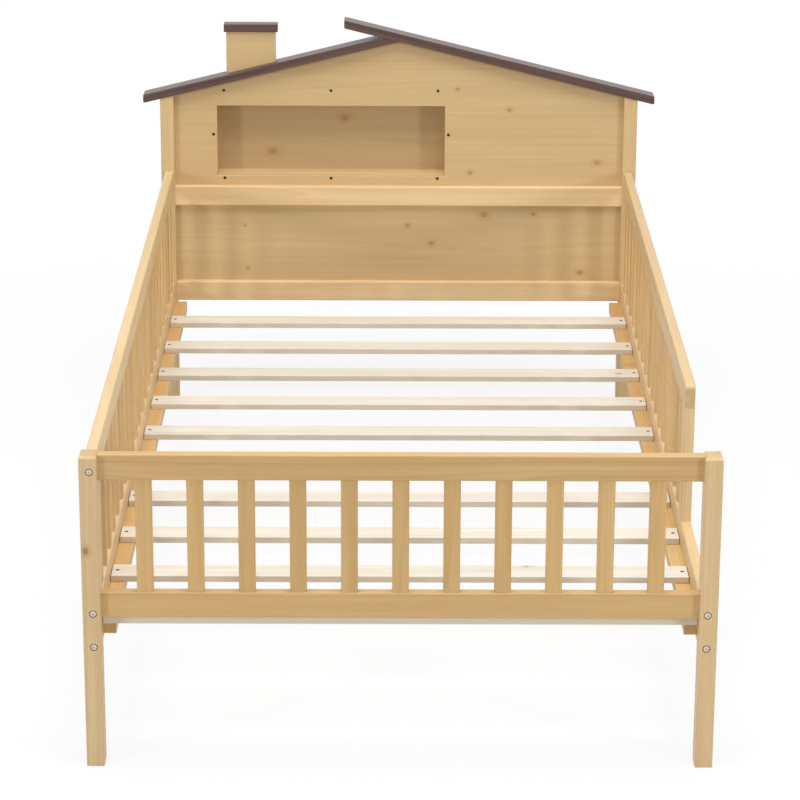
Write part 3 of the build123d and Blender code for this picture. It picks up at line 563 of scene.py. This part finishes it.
dress_each(["foot_post_left", "foot_post_right", "guard_end_post"], "pine_", "z facing", 1.3,
           finish=LIT_PINE)
dress_each(["head_post_left", "head_post_right"], "pine_", "z facing", 8.3, finish=GLUED)
dress_each(["foot_top_rail", "foot_bottom_rail"], "pine_", "x upright", 12.9)
# The head's rails are painted lighter with the paler copy of the pine, for the light they catch.
dress_each(["head_mid_rail", "head_bottom_rail"], "pine_", "x upright", 17.4, finish=LIT_PINE)
# The side rails take the paler copy as painted light on their lit tops; the guard's rails share it.
dress_each(["side_rail_left", "side_rail_right", "guard_top_rail_left", "guard_top_rail_right"],
           "pine_", "y upright", 21.1, finish=LIT_PINE)
dress_each(["slat_ledger_left", "slat_ledger_right"], "pine_", "y upright", 28.6)


# %% Spindles
def loose_parts(node):
    """The box of each separate solid in a CAD node."""
    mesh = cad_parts[node].data
    group, near = list(range(len(mesh.vertices))), {}

    def root(i):
        while group[i] != i:
            group[i] = group[group[i]]
            i = group[i]
        return i

    for v in mesh.vertices:  # corners of neighbouring triangles lie in the same place
        spot = tuple(round(c * 1e6) for c in v.co)
        group[root(v.index)] = root(near.setdefault(spot, v.index))
    for edge in mesh.edges:
        group[root(edge.vertices[0])] = root(edge.vertices[1])
    boxes = {}
    for v in mesh.vertices:
        low, high = boxes.setdefault(root(v.index), (v.co.copy(), v.co.copy()))
        low[:], high[:] = map(min, low, v.co), map(max, high, v.co)
    return sorted(boxes.values(), key=lambda b: tuple(round(c, 4) for c in b[0]))


foot_spindles = sorted(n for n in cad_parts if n.startswith("foot_spindle_"))
step = (middle_of(foot_spindles[1]) - middle_of(foot_spindles[0])).x
dress(wood("pine_foot_spindles", "z facing", middle_of(foot_spindles[0]), seed=3.0, pitch=(step, 0, 0),
           scattered=0.06), *foot_spindles)
print("foot spindles:", len(foot_spindles), "every", round(1000 * step, 1), "mm")
for side in ("left", "right"):
    name = "guard_spindles_" + side
    middles = [(low + high) / 2 for low, high in loose_parts(name)]
    step = middles[1].y - middles[0].y
    dress(wood("pine_" + name, "z sideways", middles[0], seed=5.0, pitch=(0, step, 0), scattered=0.06), name)
    print(name + ":", len(middles), "every", round(1000 * step, 1), "mm")

# %% [markdown]
# ## The panels and their knots
#
# The house front and the panel below it are glued pine boards, planed smooth, so their rings
# are broad and faint. What the eye catches on them are the knots. Scattering those by chance
# would do for any bed; here the largest stand where they were seen on the real one, given as
# places across the bed and above the floor. The back of the niche is thinner wood, and the
# darker copy of the panels' finish on it is painted shade, for its place deep in the recess.

# %% Panels, niche and chimney
HOUSE_KNOTS = [  # across, above the floor, radius
    (0.444, 0.570, 0.0060), (0.161, 0.546, 0.0050), (0.131, 0.736, 0.0035), (0.246, 0.689, 0.0045)]
LOWER_KNOTS = [
    (0.192, 0.448, 0.0075), (0.021, 0.423, 0.0045), (0.075, 0.382, 0.0055), (-0.345, 0.422, 0.0030),
    (-0.339, 0.322, 0.0035), (0.411, 0.314, 0.0060), (0.304, 0.450, 0.0040)]
NICHE_KNOTS = [(-0.121, 0.656, 0.0085), (-0.283, 0.578, 0.0095)]


def on_panel(name, knots):
    """Sets knots, given across and above, in the middle of an upright panel."""
    return [((x, middle_of(name).y, z), radius) for x, z, radius in knots]


PANELS = {  # knots, finish, seed
    "house_panel": (HOUSE_KNOTS, GLUED, 31.0),
    "lower_panel": (LOWER_KNOTS, GLUED, 34.4),
    # The niche's back takes the darker copy of the finish, as painted shade.
    "niche_back": (NICHE_KNOTS, SHADED_GLUED, 36.8),
}
WIDE_RINGS, PANEL_HEART_DEPTH = 0.0075, 0.16
for name, (knots, finish, seed) in PANELS.items():
    dress(wood("pine_" + name, "x upright", middle_of(name), seed=seed, knots=on_panel(name, knots),
               scattered=0.0, finish=finish, heart_depth=PANEL_HEART_DEPTH, ring=WIDE_RINGS), name)
    print(name, "has", len(knots), "knots")
# The niche's sill faces up into the light, so it is painted paler with the paler copy of the pine.
dress_each(["niche_bottom_board"], "pine_", "x flat", 43.3, finish=LIT_PINE)
dress_each(["niche_top_board"], "pine_", "x flat", 45.0)
dress_each(["niche_left_board", "niche_right_board"], "pine_", "z sideways", 47.1)
dress_each(["chimney_board"], "pine_", "x upright", 51.2, scattered=0.0, finish=GLUED)

# %% [markdown]
# ## Slats, roof and hidden dowels
#
# The slats are spruce, planed but not lacquered, so they are paler and duller than the frame.
# The roof boards and the chimney's cap are the same pine under a dark stain: the grain shows
# through it, and a worn edge lets a little of the wood back. Both use the wood function with
# another finish. The dowels are beech, and only their colour matters, because they are hidden.

# %% Slats, roof and dowels
# The slats' front and back faces are blended half way to the dark tint: painted shade, for sides that the
# overhead lamp barely reaches.
SPRUCE = {**PINE, "pale": colour(236, 231, 220), "dark": colour(208, 192, 166), "warm": colour(230, 221, 205),
          "knot": colour(160, 118, 78), "rim": colour(214, 186, 150), "tones": 0.06, "side_shade": 0.5, "rough": 0.66}
STAIN = {**PINE, "pale": colour(98, 72, 62), "dark": colour(46, 31, 26), "warm": colour(78, 55, 47),
         "knot": colour(42, 28, 24), "rim": colour(60, 42, 36), "rings": 0.5, "streaks": 0.75, "tones": 0.1,
         "rough": 0.3, "shine": 0.6, "relief": 0.00016}
BEECH = {**PINE, "pale": colour(214, 178, 140), "dark": colour(196, 156, 118), "warm": colour(206, 168, 130),
         "rings": 0.2}


def lean_of(name):
    """How steeply a board leans, from the best line through its corners."""
    spots = [v.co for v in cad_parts[name].data.vertices]
    middle = sum(spots, Vector()) / len(spots)
    rise = sum((c - middle).x * (c - middle).z for c in spots)
    return math.atan2(rise, sum((c - middle).x ** 2 for c in spots))


slats = sorted(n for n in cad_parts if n.startswith("slat_") and n[5:].isdigit())
step = middle_of(slats[0]).y - middle_of(slats[1]).y
dress(wood("spruce_slats", "x flat", middle_of(slats[0]), seed=50.0, pitch=(0, step, 0), finish=SPRUCE,
           scattered=0.12), *slats)
for name, seed in (("roof_board_left", 61.0), ("roof_board_right", 62.7)):
    dress(wood("stained_" + name, "x upright", middle_of(name), seed=seed, finish=STAIN, scattered=0.1,
               lean=lean_of(name)), name)
    print(name, "leans", round(math.degrees(lean_of(name)), 1), "degrees")
dress_each(["chimney_cap"], "stained_", "x upright", 64.4, finish=STAIN, scattered=0.1)
dress_each(["frame_dowels", "roof_dowels", "chimney_dowels"], "beech_", "z facing", 71.0,
           finish=BEECH, scattered=0.0)
print("slats:", len(slats), "every", round(1000 * step, 1), "mm")

# %% [markdown]
# ## Metals
#
# The screws in the slats and round the niche are blackened steel, the cap bolts in the posts are
# nickel-plated, and the hidden fittings are bright zinc. A metal's colour is all in its
# reflection, so what matters is how rough it is. A fine noise makes it uneven, as plating is.


# %% Metal materials
CLOUD_SCALE, CLOUD_CONTRAST, EDGES_BRIGHTER = 700.0, 0.3, 0.6
METAL_EDGE = 0.0004


def metal(name, tint, rough, spread):
    """A plated steel. spread is how uneven the plating is."""
    made = bpy.data.materials.new(name)
    made.use_nodes = True
    tree = made.node_tree
    shader = tree.nodes["Principled BSDF"]
    where = add(tree, "ShaderNodeTexCoord").outputs["Object"]
    cloud = add(tree, "ShaderNodeTexNoise", {"Vector": where, "Scale": CLOUD_SCALE, "Detail": 3.0}).outputs[0]
    edge = place_group(tree, edge_group, {"Radius": METAL_EDGE})["Edge"]
    bright = scaled(tree, cloud, CLOUD_CONTRAST, 1 - CLOUD_CONTRAST / 2)
    bright = scaled(tree, edge, EDGES_BRIGHTER, bright)
    bright = joined(tree, bright, bright, bright)
    fill(tree, shader.inputs["Base Color"], blend_colours(tree, 1.0, tint, bright, "MULTIPLY"))
    fill(tree, shader.inputs["Roughness"], scaled(tree, cloud, spread, rough - spread / 2))
    shader.inputs["Metallic"].default_value = 1.0
    return made


black_steel = metal("blackened_steel", colour(74, 68, 66), 0.42, 0.2)
nickel = metal("nickel_plate", colour(214, 203, 186), 0.4, 0.14)
zinc = metal("bright_zinc", colour(196, 198, 200), 0.34, 0.16)
dress(nickel, "foot_bolts", "head_bolts")
dress(zinc, "barrel_nuts", "ledger_screws", "niche_back_screws")
print("metals:", black_steel.name, nickel.name, zinc.name)

# %% [markdown]
# ## Screws and bolts
#
# Forty-six screws hold the slats, the ledgers and the niche, and eleven bolts hold the side
# frames to the posts. A screw is a flat head with a cross for the driver, a cone that pulls it
# flush, and a thread. A cap bolt is the same thing with a straight head and a six-sided socket,
# which is three bars laid across each other where the cross has two. So one Geometry Nodes tree
# builds both from named sizes, and puts one on every point of a cloud, turned along that
# point's own direction. The points are read from the places of the CAD screws and bolts, so
# each head sits where the drawing has it. Modelling them by hand would give 57 equal shapes to
# keep in step.

# %% A Geometry Nodes tree for a screw or a bolt
HEAD_SIDES, CORE_SIDES, THREAD_STEPS = 32, 12, 9
CORE_RADIUS, THREAD_RADIUS, RIDGE_RADIUS = 0.72, 0.78, 0.2  # parts of the shank's own radius
THREADED = 0.9  # part of the shank
FULL_TURN = 6.283

screw_tree, given, result = open_group(
    "screws on points",
    {"Geometry": ("Geometry", None), "Head Diameter": ("Float", 0.007),
     "Under Head Diameter": ("Float", 0.0028), "Head Height": ("Float", 0.0024),
     "Shank Diameter": ("Float", 0.0035), "Length": ("Float", 0.03),
     "Drive Arms": ("Int", 2), "Drive Length": ("Float", 0.0036), "Drive Width": ("Float", 0.0009),
     "Drive Depth": ("Float", 0.0014), "Thread Turns": ("Float", 11.0), "Finish": ("Material", None),
     "Seed": ("Int", 0)},
    {"Geometry": "Geometry"}, kind="GeometryNodeTree",
)
tree = screw_tree
half_of = {n: sum_of(tree, "MULTIPLY", given[n], 0.5) for n in (
    "Head Diameter", "Under Head Diameter", "Shank Diameter", "Length", "Head Height")}


def part_of_shank(share):
    """A part of the shank's radius."""
    return sum_of(tree, "MULTIPLY", half_of["Shank Diameter"], share)


def lowered(mesh, depth):
    """A mesh moved down by a depth."""
    way = joined(tree, 0.0, 0.0, sum_of(tree, "MULTIPLY", depth, -1.0))
    return add(tree, "GeometryNodeTransform", {"Geometry": mesh, "Translation": way}).outputs[0]


# The head's flat top lies at the point itself, and the screw runs down from it
head = add(tree, "GeometryNodeMeshCone", {
    "Vertices": HEAD_SIDES, "Radius Top": half_of["Head Diameter"],
    "Radius Bottom": half_of["Under Head Diameter"], "Depth": given["Head Height"]}).outputs["Mesh"]
bar = add(tree, "GeometryNodeMeshCube", {"Size": joined(
    tree, given["Drive Length"], given["Drive Width"],
    sum_of(tree, "MULTIPLY", given["Drive Depth"], 2.0))}).outputs["Mesh"]
arms = add(tree, "GeometryNodePoints", {"Count": given["Drive Arms"]}).outputs[0]
number = add(tree, "GeometryNodeInputIndex").outputs[0]
turn = sum_of(tree, "DIVIDE", sum_of(tree, "MULTIPLY", number, math.pi), given["Drive Arms"])
turn = add(tree, "FunctionNodeAxisAngleToRotation", {"Axis": (0, 0, 1), "Angle": turn}).outputs[0]
arms = add(tree, "GeometryNodeInstanceOnPoints", {"Points": arms, "Instance": bar, "Rotation": turn}).outputs[0]
arms = add(tree, "GeometryNodeRealizeInstances", {"Geometry": arms}).outputs[0]
driven = add(tree, "GeometryNodeMeshBoolean", {
    "Mesh 1": lowered(head, given["Head Height"]), "Mesh 2": arms, "Self Intersection": True},
    operation="DIFFERENCE", solver="EXACT").outputs["Mesh"]
below_head = sum_of(tree, "SUBTRACT", given["Length"], given["Head Height"])
core = add(tree, "GeometryNodeMeshCylinder", {
    "Vertices": CORE_SIDES, "Radius": part_of_shank(CORE_RADIUS), "Depth": below_head}).outputs["Mesh"]
core = lowered(core, sum_of(tree, "ADD", half_of["Head Height"], half_of["Length"]))
thread = add(tree, "GeometryNodeCurveSpiral", {
    "Resolution": THREAD_STEPS, "Rotations": given["Thread Turns"],
    "Start Radius": part_of_shank(THREAD_RADIUS), "End Radius": part_of_shank(THREAD_RADIUS),
    "Height": sum_of(tree, "MULTIPLY", below_head, -THREADED), "Reverse": True}).outputs["Curve"]
ridge = add(tree, "GeometryNodeCurvePrimitiveCircle", {
    "Resolution": 3, "Radius": part_of_shank(RIDGE_RADIUS)}).outputs["Curve"]
thread = add(tree, "GeometryNodeCurveToMesh", {
    "Curve": thread, "Profile Curve": ridge, "Fill Caps": True}).outputs["Mesh"]
whole = add(tree, "GeometryNodeJoinGeometry")
for part in (driven, core, lowered(thread, given["Head Height"])):
    tree.links.new(part, whole.inputs[0])
# Each one is turned along its point's own direction, and spun by chance about it
aim = add(tree, "GeometryNodeInputNamedAttribute", {"Name": "out_of_wood"}, data_type="FLOAT_VECTOR")
aim = aim.outputs["Attribute"]
toward = add(tree, "FunctionNodeAlignRotationToVector", {"Vector": aim}, axis="Z").outputs[0]
spin = add(tree, "FunctionNodeRandomValue", {"Max": FULL_TURN, "Seed": given["Seed"]}, data_type="FLOAT")
spin = next(s for s in spin.outputs if s.enabled)
twist = add(tree, "FunctionNodeAxisAngleToRotation", {"Axis": (0, 0, 1), "Angle": spin}).outputs[0]
turned = add(tree, "FunctionNodeRotateRotation", {0: toward, 1: twist}, rotation_space="LOCAL").outputs[0]
points = add(tree, "GeometryNodeMeshToPoints", {"Mesh": given["Geometry"]}).outputs[0]
placed = add(tree, "GeometryNodeInstanceOnPoints", {
    "Points": points, "Instance": whole.outputs[0], "Rotation": turned}).outputs[0]
real = add(tree, "GeometryNodeRealizeInstances", {"Geometry": placed}).outputs[0]
painted = add(tree, "GeometryNodeSetMaterial", {"Geometry": real, "Material": given["Finish"]}).outputs[0]
fill(tree, result["Geometry"], painted)
print("tree:", screw_tree.name)


# %% Put the screws and bolts in
def bake_tree(name, node_tree, spots, inputs):
    """Runs a tree on a cloud of (place, direction) spots, and returns a plain mesh object."""
    cloud = bpy.data.meshes.new(name + "_spots")
    cloud.from_pydata([place for place, _ in spots], [], [])
    aims = cloud.attributes.new("out_of_wood", "FLOAT_VECTOR", "POINT")
    aims.data.foreach_set("vector", [c for _, aim in spots for c in aim])
    holder = bpy.data.objects.new(name + "_spots", cloud)
    bpy.context.scene.collection.objects.link(holder)
    modifier = holder.modifiers.new("build", "NODES")
    modifier.node_group = node_tree
    sockets = {s.name: s.identifier for s in node_tree.interface.items_tree if s.in_out == "INPUT"}
    for label, value in inputs.items():
        modifier[sockets[label]] = value
    evaluated = holder.evaluated_get(bpy.context.evaluated_depsgraph_get())
    mesh = bpy.data.meshes.new_from_object(evaluated)
    bpy.data.objects.remove(holder)
    mesh.name = name
    made = bpy.data.objects.new(name, mesh)
    bpy.context.scene.collection.objects.link(made)
    return made


SOCKET_WIDTH = 0.005
BOLT = {"Head Diameter": 0.010, "Under Head Diameter": 0.010, "Head Height": 0.005, "Shank Diameter": 0.006,
        "Drive Arms": 3, "Drive Length": SOCKET_WIDTH, "Drive Width": SOCKET_WIDTH / math.sqrt(3),
        "Drive Depth": 0.003, "Thread Turns": 36.0}
SPIN_SEED = 7
HARDWARE = {  # node: which way its heads look (None: to the middle), finish, slot, sizes of its own
    "slat_screws": ((0, 0, 1), black_steel, "black_screw_steel", {}),
    "niche_front_screws": ((0, -1, 0), black_steel, "black_screw_steel", {}),
    "niche_back_screws": ((0, 1, 0), zinc, "zinc_steel", {}),
    "ledger_screws": (None, zinc, "zinc_steel", {}),
    "foot_bolts": ((0, -1, 0), nickel, "bolt_steel", BOLT),
    "head_bolts": ((0, 1, 0), nickel, "bolt_steel", BOLT),
}
for node, (out, finish, slot, own_sizes) in HARDWARE.items():
    spots, lengths = [], []
    for low, high in loose_parts(node):
        place = (low + high) / 2
        facing = out or (-math.copysign(1, place.x), 0, 0)
        axis = max(range(3), key=lambda i: abs(facing[i]))
        place[axis] = high[axis] if facing[axis] > 0 else low[axis]
        spots.append((place, facing))
        lengths.append((high - low)[axis])
    made = bake_tree(node + "_made", screw_tree, spots, {
        "Length": min(lengths), "Finish": finish, "Seed": SPIN_SEED, **own_sizes})
    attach(made, "root")
    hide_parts(node)
    print(node, len(spots), "made,", len(made.data.polygons), "faces,",
          round(1000 * min(lengths), 1), "to", round(1000 * max(lengths), 1), "mm long")
